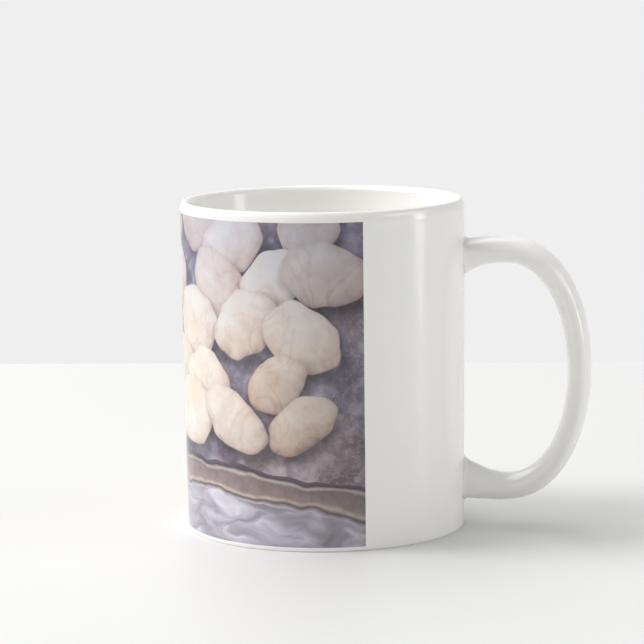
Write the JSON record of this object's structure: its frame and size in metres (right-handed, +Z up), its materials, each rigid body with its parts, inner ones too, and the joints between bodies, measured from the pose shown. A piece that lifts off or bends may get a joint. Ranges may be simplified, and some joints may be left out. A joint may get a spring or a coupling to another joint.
{
  "type": "printed ceramic coffee mug",
  "caption": "Straight-sided glazed ceramic mug with a D-shaped handle, a foot ring and a pebble pattern printed round the side away from the handle.",
  "frame": {"origin": "on the surface that the mug stands on, below the middle of its overall box with the handle; the mug's own axis is 18.0 mm from it along -X", "axes": "+Z up through the mouth, +X towards the handle, +Y across the handle's plane"},
  "size_m": [0.118, 0.082, 0.095],
  "materials": {
    "glaze": "clear gloss glaze over white clay, with a printed pattern under it and a bare foot ring"
  },
  "bodies": {
    "root": {"mug": "glaze"}
  },
  "joints": []
}
